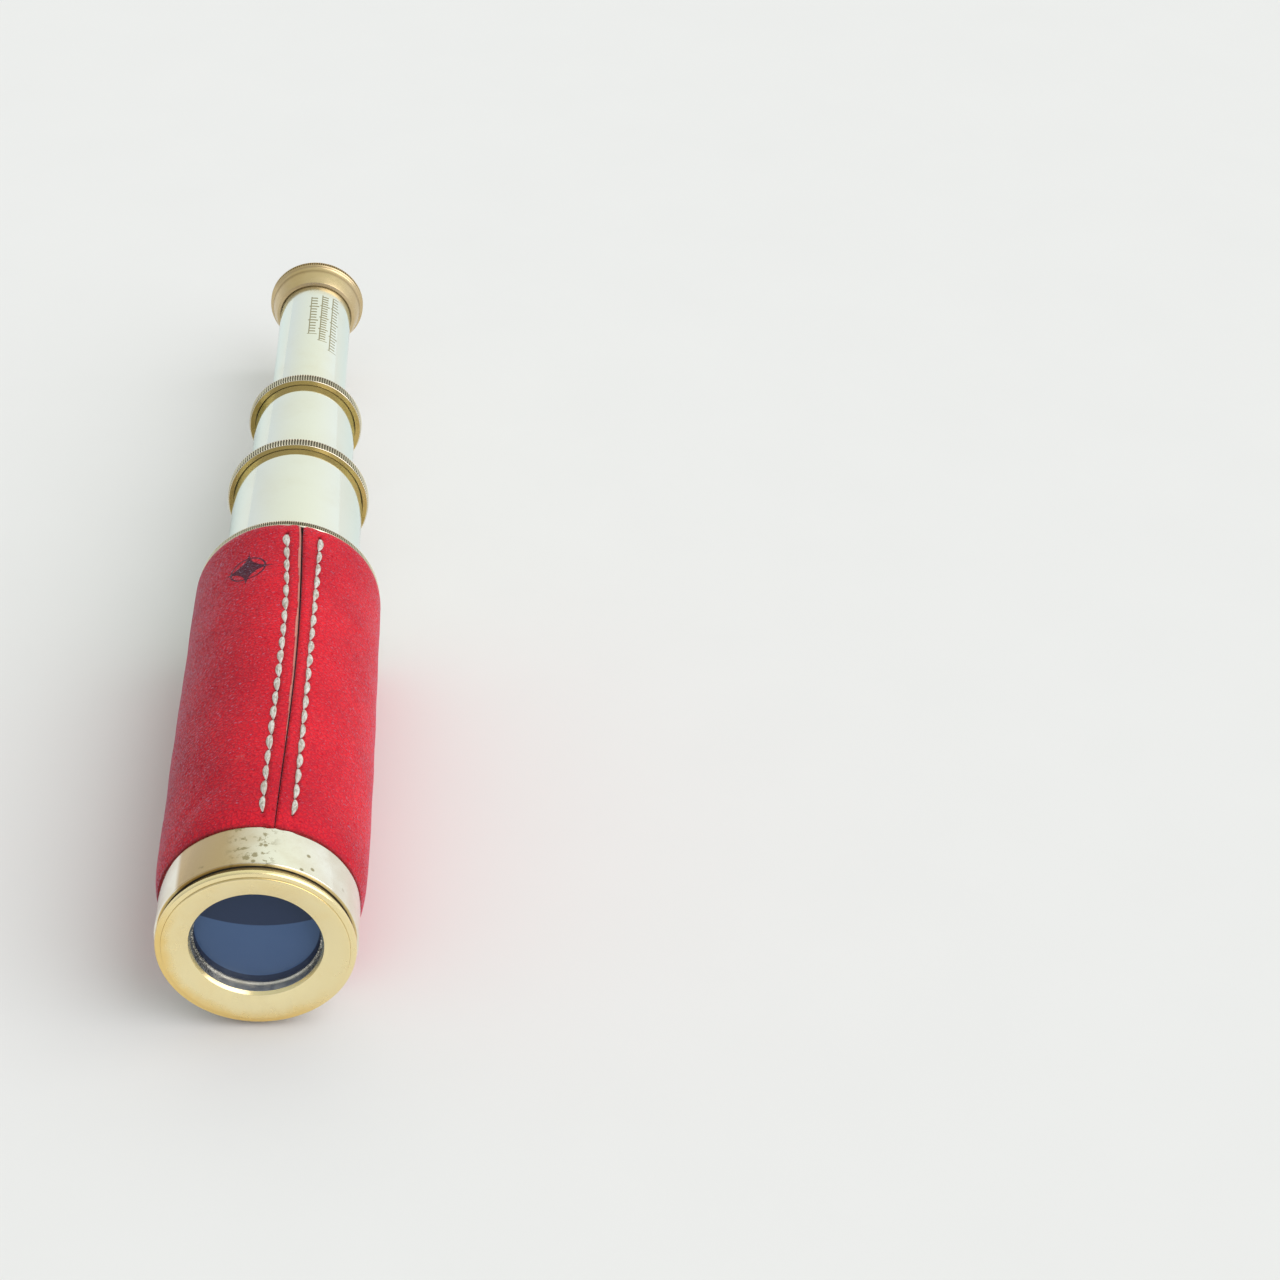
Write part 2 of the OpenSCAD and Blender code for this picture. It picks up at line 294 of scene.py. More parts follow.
def engraved_scale(t, centre, pitch, first, last):
    """A rule with strokes across it, every fifth one longer."""
    x, y, _ = t.split(t.uv)
    soft = 0.1 * MM
    station = t.minus(y, FRONT_Y + first * MM)
    run = (last - first) * MM
    inside = t.times(t.step(station, -soft, soft), t.step(station, run + soft, run - soft))
    offset = t.minus(x, centre * MM)

    def strokes(repeat, half_length):
        line = t.step(t.math("PINGPONG", station, repeat / 2 * MM), 0.32 * MM, 0.20 * MM)
        return t.times(line, t.step(t.unsigned(offset), (half_length + 0.1) * MM, half_length * MM))

    rule = t.step(t.unsigned(t.plus(offset, 0.85 * MM)), 0.20 * MM, 0.10 * MM)
    lines = t.larger(rule, t.larger(strokes(pitch, 0.75), strokes(pitch * 5, 1.25)))
    return t.times(lines, inside)


def scale_marks(t):
    """Three plain engraved scales along the last draw tube, with no numbers or letters."""
    first, second, third = (engraved_scale(t, *scale) for scale in SCALES)
    return t.larger(t.larger(first, second), third)


# Meshes


CORNER_STEPS = 4
SMOOTH_BEND = math.radians(20)  # a profile that bends less than this at a point is taken as a curve there


def rounded(profile, radius):
    """The closed profile of [r, s, relief] points with its corners rounded. Points on a curve stay."""
    points = [np.array([*p, 0.0][:3], float) for p in profile]
    made = []
    for before, point, after in zip(points[-1:] + points[:-1], points, points[1:] + points[:1], strict=True):
        back, on = before - point, after - point
        lengths = np.hypot(*back[:2]), np.hypot(*on[:2])
        bend = math.acos(max(-1.0, min(1.0, -float(back[:2] @ on[:2]) / (lengths[0] * lengths[1]))))
        if bend < SMOOTH_BEND:
            made.append(point)
            continue
        reach = min(radius * math.tan(bend / 2), 0.45 * min(lengths))
        a, b = point + back / lengths[0] * reach, point + on / lengths[1] * reach
        for share in np.arange(CORNER_STEPS + 1) / CORNER_STEPS:
            corner = (1 - share) ** 2 * a + 2 * share * (1 - share) * point + share * share * b
            corner[2] = point[2]
            made.append(corner)
    return made


def mesh_object(name, points, faces, body, material, smooth_under=32.0):
    """A piece that rides on a body, smooth where its faces meet at less than smooth_under degrees."""
    mesh = bpy.data.meshes.new(name)
    mesh.from_pydata([tuple(p) for p in points], [], faces)
    mesh.validate()
    mesh.polygons.foreach_set("use_smooth", [True] * len(mesh.polygons))
    mesh.set_sharp_from_angle(angle=math.radians(smooth_under))
    mesh.materials.append(material)
    made = bpy.data.objects.new(name, mesh)
    SCENE.collection.objects.link(made)
    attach(made, body)
    return made


def unroll(piece, radius):
    """A UV map in metres: x along the turn at this radius, y along the axis."""
    mesh = piece.data
    layer = mesh.uv_layers.new(name="Unrolled")
    where = np.empty(len(mesh.vertices) * 3, np.float32)
    mesh.vertices.foreach_get("co", where)
    where = where.reshape(-1, 3)
    corners = np.empty(len(mesh.loops), np.int32)
    mesh.loops.foreach_get("vertex_index", corners)
    sizes = np.empty(len(mesh.polygons), np.int32)
    mesh.polygons.foreach_get("loop_total", sizes)
    turn = np.arctan2(where[:, 0], where[:, 2] - AXIS_Z)[corners]
    first = np.repeat(turn[np.cumsum(sizes) - sizes], sizes)
    turn = first + (turn - first + math.pi) % FULL_TURN - math.pi
    unrolled = np.stack([turn * radius * MM, where[corners, 1]], -1)
    layer.data.foreach_set("uv", unrolled.astype(np.float32).ravel())


def add_attribute(piece, name, values):
    """A number at every point of a piece, for its material to read."""
    attribute = piece.data.attributes.new(name, "FLOAT", "POINT")
    attribute.data.foreach_set("value", values.astype(np.float32).ravel())


def turned(name, profile, body, material, fillet, segments=224, knurl=None, painted_shade=None, second=None):
    """A solid turned about the optical axis. profile: its [r, s, relief] outline. knurl: (teeth, depth), cut
    where relief is 1, with shade painted in the valleys of the teeth. The shade function of r and s tells how
    much shade is painted there, from 0 to 1. second: (material, test) for the faces where test(r, s) is true."""
    ring = rounded(profile, fillet)
    area = sum(a[0] * b[1] - b[0] * a[1] for a, b in zip(ring, ring[1:] + ring[:1], strict=True))
    if area > 0:
        ring.reverse()
    teeth, tooth_depth = knurl or (0, 0.0)
    segments = teeth * 5 or segments
    turn = np.arange(segments) / segments * FULL_TURN
    wave = np.abs(((turn * teeth / FULL_TURN + 0.5) % 1) * 2 - 1)
    groove = np.clip(wave * 1.8 - 0.2, 0, 1)
    r, s, relief = (np.array([p[i] for p in ring])[:, None] for i in range(3))
    points = place(r - relief * groove * tooth_depth, s, turn).reshape(-1, 3)
    grid = np.arange(len(ring) * segments).reshape(len(ring), segments)
    ahead = np.roll(grid, -1, axis=0)
    faces = np.stack([grid, np.roll(grid, -1, axis=1), np.roll(ahead, -1, axis=1), ahead], -1)
    made = mesh_object(name, points, faces.reshape(-1, 4).tolist(), body, material)
    if second:
        other, test = second
        made.data.materials.append(other)
        middles = zip((r + np.roll(r, -1)).ravel() / 2, (s + np.roll(s, -1)).ravel() / 2, strict=True)
        chosen = np.array([test(*middle) for middle in middles], np.int32)
        made.data.polygons.foreach_set("material_index", np.repeat(chosen, segments))
    unroll(made, float(r.mean()))
    # Painted shade: full in the valleys of the knurl teeth, and as much as the shade function gives
    # elsewhere.
    shade_share = relief * groove
    if painted_shade:
        shade_share = np.maximum(shade_share, np.array([painted_shade(p[0], p[1]) for p in ring])[:, None])
    add_attribute(made, "painted_shade", shade_share)
    return made


def arc(r, s, radius, first, last, steps):
    """Points from one angle to another on a circle round (r, s). 0 degrees is outwards, 90 is back."""
    angles = [math.radians(first + (last - first) * i / steps) for i in range(steps + 1)]
    return [[r + radius * math.cos(a), s + radius * math.sin(a)] for a in angles]


def tube_profile(outer, inner, front, back):
    return [[inner, front], [outer, front], [outer, back], [inner, back]]


def knurl_back(r, back, edge=0.22):
    """The end of a knurled band: the back of its teeth and the plain chamfer behind them."""
    teeth_end, chamfer = [r, back - edge - 0.12, 1.0], [r - 0.03, back - edge * 0.8]
    return [teeth_end, [r, back - edge - 0.05], chamfer, [r - edge, back]]


def knurl_band(r, front, back, edge=0.22):
    """Profile of a knurled band with plain chamfered edges, from front to back."""
    teeth_start, chamfer = [r, front + edge + 0.12, 1.0], [r - 0.03, front + edge * 0.8]
    return [[r - edge, front], chamfer, [r, front + edge + 0.05], teeth_start, *knurl_back(r, back, edge)]


# Camera, floor and light

camera = bpy.data.objects.new("camera", bpy.data.cameras.new("camera"))
camera.data.lens = 79.53
camera.data.sensor_width = 36.0
camera.data.clip_start, camera.data.clip_end = 0.01, 20
camera.rotation_mode = "QUATERNION"
camera.location = Vector((0.04448, FRONT_Y - 0.43585, AXIS_Z + 0.39899))
camera.rotation_quaternion = (
    Matrix.Rotation(math.radians(-4.189), 3, "Z")
    @ Matrix.Rotation(math.radians(53.864), 3, "X")
    @ Matrix.Rotation(math.radians(2.737), 3, "Z")
).to_quaternion()
SCENE.collection.objects.link(camera)
SCENE.camera = camera
SCENE.view_settings.view_transform = "Standard"

FLOOR_HALF = 30
floor_tree = Tree("pale_floor")
floor_grey = floor_tree.mix(floor_tree.noise(floor_tree.place, 30, 3), (0.80, 0.80, 0.80), (0.82, 0.82, 0.82))
floor_tree.set(Base_Color=floor_grey, Roughness=0.9)
floor_mesh = bpy.data.meshes.new("floor")
floor_corners = [(x * FLOOR_HALF, y * FLOOR_HALF, 0) for x, y in ((-1, -1), (1, -1), (1, 1), (-1, 1))]
floor_mesh.from_pydata(floor_corners, [], [(0, 1, 2, 3)])
floor_mesh.materials.append(floor_tree.material)
floor = bpy.data.objects.new("floor", floor_mesh)
SCENE.collection.objects.link(floor)

world = bpy.data.worlds.new("studio")
world.use_nodes = True
SCENE.world = world


def tent_light():
    """A white light tent: cool at the horizon, warmer overhead, and dimmer towards -X and -Y."""
    nodes, links = world.node_tree.nodes, world.node_tree.links
    direction = nodes.new("ShaderNodeSeparateXYZ")
    links.new(nodes.new("ShaderNodeTexCoord").outputs["Generated"], direction.inputs[0])

    def ramp(axis, low, high, first, last):
        """Colour first below low and colour last above high, along one axis."""
        share = nodes.new("ShaderNodeMapRange")
        share.interpolation_type = "SMOOTHSTEP"
        share.inputs["From Min"].default_value, share.inputs["From Max"].default_value = low, high
        links.new(direction.outputs[axis], share.inputs["Value"])
        colours = nodes.new("ShaderNodeMix")
        colours.data_type = "RGBA"
        links.new(share.outputs[0], colours.inputs[0])
        colours.inputs[6].default_value, colours.inputs[7].default_value = (*first, 1), (*last, 1)
        return colours.outputs[2]

    light = ramp("Z", 0.0, 0.7, (0.83, 0.845, 0.93), (0.84, 0.865, 0.83))
    depth = ramp("Y", -0.9, 0.6, (0.66, 0.66, 0.68), (1.055, 1.08, 0.965))
    side = ramp("X", -0.9, 0.9, (0.80, 0.805, 0.85), (1.07, 1.07, 1.09))
    for factor in (depth, side):
        product = nodes.new("ShaderNodeMix")
        product.data_type, product.blend_type = "RGBA", "MULTIPLY"
        product.inputs[0].default_value = 1.0
        links.new(light, product.inputs[6])
        links.new(factor, product.inputs[7])
        light = product.outputs[2]
    links.new(light, nodes["Background"].inputs["Color"])
    nodes["Background"].inputs["Strength"].default_value = 1.0


tent_light()

key = bpy.data.lights.new("key_light", "SUN")
key.energy, key.angle, key.color = 1.55, math.radians(65), (1.0, 0.945, 1.0)
key_light = bpy.data.objects.new("key_light", key)
key_light.rotation_mode = "QUATERNION"
key_light.rotation_quaternion = Vector((-0.68, 0.26, -0.68)).to_track_quat("-Z", "Y")
SCENE.collection.objects.link(key_light)

# Finishes of the brass pieces: colour, tarnish, dark, roughness, streaks and share of tarnish

TUBE_FINISH = {
    "colour": (0.93, 0.92, 0.82),
    "rough": 0.06,
    "streak": 0.05,
    "grime_share": 0.5,
    "grooves": 0.05,
    "edge": (0.86, 0.97, 1.0),
}
polished = brass("polished_brass", tarnish=(0.88, 0.84, 0.70), dark=(0.30, 0.22, 0.10), **TUBE_FINISH)
engraved = brass(
    "engraved_brass",
    tarnish=(0.88, 0.81, 0.64),
    dark=(0.30, 0.23, 0.08),
    stains=cup_stains,
    marks=scale_marks,
    **TUBE_FINISH,
)
sleeve_brass = brass(
    "sleeve_brass", (0.95, 0.92, 0.82), (0.56, 0.40, 0.20), (0.30, 0.24, 0.11), 0.10, 0.1, 0.3, sleeve_stains
)
gold = brass(
    "gold_brass", (0.96, 0.83, 0.48), (0.90, 0.64, 0.22), (0.16, 0.11, 0.04), 0.22, 0.1, 0.35, ring_tarnish_and_reflection
)
bronze = brass("aged_gold_brass", (0.65, 0.515, 0.30), (0.58, 0.42, 0.19), (0.14, 0.09, 0.03), 0.30, 0.0, 0.7)
# Faces of the collars and the end ring: a darker, greenish copy of the knurled brass, a painted reflection of
# the tubes and floor, with tarnish.
face_brass_painted_reflection = brass("tarnished_face_painted_reflection", (0.62, 0.46, 0.165), (0.40, 0.29, 0.08), (0.07, 0.05, 0.015), 0.24, 0.0, 0.9)
knurled = brass("knurled_brass", (0.92, 0.86, 0.70), (0.72, 0.60, 0.40), (0.045, 0.034, 0.018), 0.2, 0.0, 0.5)
brushed = brass(
    "brushed_wall", (0.86, 0.85, 0.78), (0.60, 0.58, 0.50), (0.05, 0.05, 0.05), 0.5, 0.3, 0.8, wall_stains
)

# The barrel's brass

SPIGOT_R = BARREL_BORE - THREAD_GAP
CELL_COVE_BACK = 3.1


def cell_painted_shade(r, s):
    """Painted shade in the cove behind the bead, and in the fine line between the bead and the face."""
    if 19.7 < r < 20.8 and 1.4 < s < CELL_COVE_BACK + 0.1:
        return float(np.interp(s, [1.4, 1.75, 2.3, CELL_COVE_BACK], [0, 0.2, 0.6, 0.75]))
    return 0.6 * (abs(r - 19.53) < 0.06 and 0.2 < s < 0.5)


cell_face = [[APERTURE_R, 2.3], [14.05, 1.5], [18.8, 0.06], [19.35, 0.0], [19.5, 0.1], [19.54, 0.38]]
cell_bead = arc(19.93, 1.05, 0.9, -48, 30, steps=10)
cell_cove = [[20.5, 1.75], [20.2, 2.05], [20.0, 2.4], [20.0, CELL_COVE_BACK]]
cell_spigot = [[SPIGOT_R, CELL_COVE_BACK], [SPIGOT_R, CELL_LEN], [16.5, CELL_LEN], [16.5, 4.9]]
lens_seat = [[13.2, 4.9], [13.2, 4.45], [APERTURE_R, 4.45]]
cell = turned(
    "cell_ring",
    cell_face + cell_bead + cell_cove + cell_spigot + lens_seat,
    "barrel",
    gold,
    fillet=0.06,
    segments=256,
    painted_shade=cell_painted_shade,
    second=(brushed, lambda r, s: r < APERTURE_R + 0.15 and s > 2.2),
)
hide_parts("objective_cell")

sleeve_profile = tube_profile(SLEEVE.r, BARREL_TUBE.r + THREAD_GAP, SLEEVE.front, SLEEVE.back)
sleeve = turned("sleeve_ring", sleeve_profile, "barrel", sleeve_brass, fillet=0.25, segments=256)
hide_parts("objective_sleeve")

bush_front = END_RING.back - BUSH_LEN
end_ring = turned(
    "knurled_end_ring",
    [[END_RING_BORE, bush_front], [SPIGOT_R, bush_front], [SPIGOT_R, LEATHER.back]]
    + knurl_band(END_RING.r, END_RING.back - END_RING_LEN, END_RING.back)
    + [[END_RING_BORE, END_RING.back]],
    "barrel",
    knurled,
    fillet=0.06,
    knurl=(END_RING_TEETH, 0.26),
    # The back face takes the darker brass that carries a painted reflection.
    second=(face_brass_painted_reflection, lambda r, s: s > END_RING.back - 0.2),
)
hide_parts("barrel_end_ring")

# The draw tubes, their collars and the eyecup


def knurled_collar(i):
    """The collar of a draw tube: a bush in the tube, a flat face and teeth that run over its front edge."""
    tube_r, band_r = TUBES[i].r, COLLARS[i].r
    back = COLLARS[i].back
    front = back - COLLAR_LEN[i]
    bush = [
        [COLLAR_BORE[i], back - BUSH_LEN],
        [tube_r - BUSH_WALL_GAP, back - BUSH_LEN],
        [tube_r - BUSH_WALL_GAP, front + 1.2],
        [tube_r + THREAD_GAP, front + 1.2],
        [tube_r + THREAD_GAP, front],
    ]
    face = [
        [tube_r + 0.20, front],
        [band_r - 0.65, front],
        [band_r - 0.40, front],
        [band_r - 0.30, front + 0.10],
    ]
    teeth = [
        [band_r - 0.27, front + 0.14, 1.0],
        [band_r - 0.05, front + 0.50, 1.0],
        [band_r, front + 0.70, 1.0],
    ]
    return turned(
        f"knurled_collar_{i}",
        bush + face + teeth + knurl_back(band_r, back) + [[COLLAR_BORE[i], back]],
        f"draw_{i}",
        knurled,
        fillet=0.07,
        knurl=(COLLAR_TEETH[i], 0.28),
        # Painted shade in the corner where the face meets the draw tube.
        painted_shade=lambda r, s: 0.7 * (r < tube_r + 0.12 and s < front + 0.1),
        # The front and back faces take the darker brass that carries a painted reflection.
        second=(face_brass_painted_reflection, lambda r, s: s < front + 0.02 or s > back - 0.2),
    )


for i in (1, 2):
    collar = knurled_collar(i)
    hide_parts(f"draw_{i}_collar")

for i, material in ((1, polished), (2, polished), (3, engraved)):
    tube_shape = tube_profile(TUBES[i].r, TUBES[i].r - TUBE_WALL, TUBES[i].front, TUBES[i].back)
    tube = turned(f"polished_draw_{i}", tube_shape, f"draw_{i}", material, fillet=0.1, segments=256)
    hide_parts(f"draw_tube_{i}")

web_front = CUP.front + 2.6
web_back = web_front + CUP_WEB
socket_r = TUBES[3].r + THREAD_GAP
lip_r = TUBES[3].r + 0.2
dome_r = lip_r + 0.8
shoulder_r = CUP.r - 0.9
bowl_r = CUP.r - 1.3
socket = [[EYE_HOLE_R, web_front], [socket_r, web_front], [socket_r, CUP.front]]
cup_lip = [[lip_r - 0.02, CUP.front], [lip_r + 0.1, CUP.front + 0.02]]
dome = [
    [dome_r + (shoulder_r - dome_r) * (share + 0.35 * share * (1 - share)), CUP.front + 0.25 + 4.1 * share]
    for share in np.linspace(0, 1, 16)
]
cove = [
    [shoulder_r + 0.65 * (1 - math.cos(a)), CUP.front + 4.45 + 1.8 * math.sin(a)]
    for a in np.radians(range(0, 91, 10))
]
bowl = [
    [bowl_r - (bowl_r - EYE_HOLE_R) * (1 - math.cos(a)), CUP.back - (CUP.back - web_back) * math.sin(a)]
    for a in np.radians(range(8, 88, 8))
]


def cup_painted_shade(r, s):
    """Painted shade where the lip meets the draw tube, and a painted dark reflection in the cove."""
    lip = 0.7 * (r < lip_r + 0.05 and s < CUP.front + 0.1)
    return lip + 0.45 * float(np.interp(s - CUP.front, [3.7, 4.7, 5.6], [0, 1, 0]))


eyecup = turned(
    "turned_eyecup",
    socket
    + cup_lip
    + dome
    + cove
    + knurl_band(CUP.r, CUP.back - 1.8, CUP.back, edge=0.25)
    + [[bowl_r, CUP.back]]
    + bowl
    + [[EYE_HOLE_R, web_back]],
    "draw_3",
    bronze,
    fillet=0.08,
    knurl=(CUP_TEETH, 0.22),
    painted_shade=cup_painted_shade,
)
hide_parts("eyecup")

# Leather

SEAM_FROM, SEAM_TO = 18.0, 124.0
STITCH_FIRST, STITCH_LAST, STITCH_COUNT = 18.6, 121.0, 20
LEATHER_ROWS = 226
INSIDE_STEP = 5  # rows of the outside to one row of the inside
FOLD_START = (-25.0, 16.0)  # along the turn at the leather's radius, and s
FOLD_DIRECTION = (17.4 / 23.6, 16.0 / 23.6)
FOLD_LENGTH = 24.0


def along(s):
    """Share of the way along the seam."""
    return np.clip((np.asarray(s, float) - SEAM_FROM) / (SEAM_TO - SEAM_FROM), 0, 1)


def seam_turn(s):
    return np.radians(10.5 + 3.3 * np.sin(math.pi * along(s) ** 1.15))


def left_row_turn(s):
    way = along(s)
    return np.radians(2.9 + 2.6 * np.sin(math.pi * way**1.6) - 2 * way**4)


def right_row_turn(s):
    return np.radians(19.3 + 2.7 * along(s) ** 0.7)


def seam_half_gap(s):
    """Half the width of the open seam, in mm."""
    way = along(s)
    flare = 0.14 * np.clip((way - 0.97) / 0.03, 0, 1)
    return 0.06 + 0.12 * way**0.7 + 0.03 * np.sin(9 * way + 1) * way + flare


def bare_width(s):
    """Width in mm of the bare skived edge of the left flap."""
    way = along(s)
    uneven = 1 + 0.22 * np.sin(23 * way) + 0.15 * np.sin(51 * way + 1)
    return 0.55 * np.clip((way - 0.16) / 0.3, 0, 1) * uneven


def leather_radius(s):
    """Outer radius of the leather along the barrel, in mm."""
    front = np.clip((s - LEATHER.front) / 9.0, 0, 1)
    edge_r = SLEEVE.r + 0.12
    body = edge_r + (LEATHER.r - edge_r) * (1 - (1 - front) ** 2.4)
    back = np.clip((LEATHER.back - s) / 2.6, 0, 1)
    bulge = 0.28 * np.exp(-(((s - 58) / 32) ** 2))
    return body - 0.35 * (1 - back) ** 2 + bulge


def wavy(x, y, seed):
    """Smooth ripples of about unit height, 13 to 40 mm long, from 14 sine waves."""
    rng = np.random.default_rng(seed)
    total = 0.0
    for _ in range(14):
        angle, length, phase = rng.uniform(0, math.pi), rng.uniform(13, 40), rng.uniform(0, FULL_TURN)
        total = total + np.sin((x * math.cos(angle) + y * math.sin(angle)) * FULL_TURN / length + phase)
    return total / math.sqrt(7)


def stitch_stations(row):
    """Front and back end of each stitch in a row."""
    pitch = (STITCH_LAST - STITCH_FIRST) / STITCH_COUNT
    first = STITCH_FIRST + (0.4 if row == "right" else 0.0)
    return [(first + i * pitch, first + (i + 1) * pitch) for i in range(STITCH_COUNT)]


def leather_columns():
    """Angles round the leather from its right cut edge to its left one, close together near the edges."""
    fine, coarse, reach = math.radians(0.62), math.radians(2.0), math.radians(17)
    edge = np.array([0.0, 0.1, 0.2, 0.32, 0.45, 0.6, 0.8]) / LEATHER.r
    near = np.concatenate([edge, np.arange(0.047, reach, fine)])
    far = np.linspace(reach, FULL_TURN - reach, round((FULL_TURN - 2 * reach) / coarse))
    return np.concatenate([near, far, FULL_TURN - near[::-1]])


def leather_turn(share, s, half_gap):
    """Turn of the point at a share of the way round the leather, from its right cut edge."""
    half = half_gap / LEATHER.r
    return seam_turn(s) + half + share * (FULL_TURN - 2 * half)


def crumple(turn, s, distance):
    """How far in mm the leather stands out or in: soft ripples, and one fold across the front left."""
    ripples = 0.07 * wavy(turn * LEATHER.r, s, 3) * np.clip(distance / 6, 0, 1)
    aside = (turn - FULL_TURN * (turn > math.pi)) * LEATHER.r - FOLD_START[0]
    behind = s - FOLD_START[1]
    across_fold = aside * FOLD_DIRECTION[1] - behind * FOLD_DIRECTION[0]
    along_fold = np.clip((aside * FOLD_DIRECTION[0] + behind * FOLD_DIRECTION[1]) / FOLD_LENGTH, 0, 1)
    return ripples - 0.26 * np.exp(-((across_fold / 2.3) ** 2)) * np.sin(math.pi * along_fold)


def leather_outside(share, s):
    """Radius, turn, painted shade with worn marks, and bare edge of the leather's outside."""
    turn = leather_turn(share, s, seam_half_gap(s))
    distance = np.minimum(share, 1 - share) * FULL_TURN * LEATHER.r
    left_side = share > 0.5
    r = leather_radius(s) + crumple(turn, s, distance)
    # the right cut edge is pressed down, and the left one is skived; both stand a little proud behind that
    bevel = bare_width(s)
    slope = np.clip(1 - distance / np.maximum(bevel, 0.05), 0, 1)
    r = r - np.where(left_side, 0.75 * slope, 0.30 * np.exp(-((distance / 0.4) ** 2)))
    r = r + np.where(left_side, 0.12, 0.05) * np.exp(-(((distance - 1.6) / 1.2) ** 2))
    bare = np.where(left_side & (distance < bevel), 1.0, 0.0)
    # Painted shade with worn marks: dark lines along the cut edges, along the stitch rows, in the stitch
    # holes and at the front edge.
    left_edge_wear_and_shade = 0.4 * np.exp(-(((distance - bevel - 0.1) / 0.16) ** 2))
    wear_and_shade = np.where(left_side, left_edge_wear_and_shade, 0.5 * np.exp(-((distance / 0.22) ** 2)))
    for row, row_turn in (("left", left_row_turn), ("right", right_row_turn)):
        gap = np.abs((turn - row_turn(s) + math.pi) % FULL_TURN - math.pi) * LEATHER.r
        ends = sorted({end for stitch in stitch_stations(row) for end in stitch})
        ends.append(ends[-1] + 0.4)
        within = np.clip((s - ends[0]) / 0.5, 0, 1) * np.clip((ends[-1] - s) / 0.5, 0, 1)
        hole = np.min([np.hypot(gap, s - end) for end in ends], axis=0)
        r = r - 0.16 * np.exp(-((gap / 1.0) ** 2)) - 0.55 * np.exp(-((hole / 0.42) ** 2))
        wear_and_shade = np.maximum(wear_and_shade, 0.30 * np.exp(-((gap / 0.95) ** 6)) * within)
        wear_and_shade = np.maximum(wear_and_shade, np.exp(-((hole / 0.42) ** 4)))
    return r, turn, np.maximum(wear_and_shade, 0.55 * np.exp(-((s - LEATHER.front) / 0.5) ** 2)), bare


def leather_faces(outside, inside):
    """Faces on two grids of point numbers and on the four walls between their edges."""
    faces = []

    def add(quads, flip):
        quads = quads.reshape(-1, 4)
        faces.extend((quads[:, ::-1] if flip else quads).tolist())

    for grid, flip in ((outside, False), (inside, True)):
        add(np.stack([grid[:-1, :-1], grid[1:, :-1], grid[1:, 1:], grid[:-1, 1:]], -1), flip)
    for i in range(len(inside) - 1):
        for column, flip in ((0, True), (-1, False)):
            edge_run = outside[i * INSIDE_STEP : (i + 1) * INSIDE_STEP + 1, column].tolist()
            wall = [*edge_run, int(inside[i + 1, column]), int(inside[i, column])]
            faces.append(wall if flip else wall[::-1])
    for end, flip in ((0, False), (-1, True)):
        top, low = outside[end], inside[end]
        add(np.stack([top[:-1], top[1:], low[1:], low[:-1]], -1), flip)
    return faces


def leather_wrap(material):
    """The leather as one closed piece: a shaped outside, a plain inside and the cut edges."""
    rows = np.linspace(LEATHER.front, LEATHER.back, LEATHER_ROWS)
    angle, s = np.meshgrid(leather_columns(), rows)
    r, turn, wear_and_shade, bare = leather_outside(angle / FULL_TURN, s)
    outer = place(r, s, turn)
    outer[..., 2] = np.maximum(outer[..., 2], 0.03 * MM)
    angle, s = np.meshgrid(leather_columns(), rows[::INSIDE_STEP])
    inner = place(BARREL_TUBE.r + 0.05, s, leather_turn(angle / FULL_TURN, s, seam_half_gap(s) + 0.04))
    outside = np.arange(wear_and_shade.size).reshape(wear_and_shade.shape)
    inside = np.arange(s.size).reshape(s.shape) + wear_and_shade.size
    points = np.concatenate([outer.reshape(-1, 3), inner.reshape(-1, 3)])
    made = mesh_object("stitched_leather", points, leather_faces(outside, inside), "barrel", material, 50)
    unroll(made, LEATHER.r)
    add_attribute(made, "wear_and_shade", np.concatenate([wear_and_shade.ravel(), np.zeros(s.size)]))
    add_attribute(made, "raw_edge", np.concatenate([bare.ravel(), np.full(s.size, 0.35)]))
    return made


def compass_star(t, x, y):
    """Share of ink in a plain compass star with four long points, four short ones and a ring."""
    across = t.minus(x, math.radians(-21) * LEATHER.r * MM)
    lengthways = t.minus(y, FRONT_Y + 108 * MM)

    def four_points(a, b, reach):
        """1 inside a four-pointed star with hollow sides."""
        sides = t.plus(t.math("POWER", t.unsigned(a), 0.5), t.math("POWER", t.unsigned(b), 0.5))
        return t.step(sides, reach**0.5 * 1.01, reach**0.5 * 0.97)

    long_points = four_points(across, lengthways, 7.6 * MM)
    short_points = four_points(t.plus(across, lengthways), t.minus(across, lengthways), 5.8 * MM)
    ring = t.step(t.unsigned(t.minus(t.length(across, lengthways), 4.3 * MM)), 0.30 * MM, 0.16 * MM)
    return t.larger(t.larger(long_points, short_points), ring)


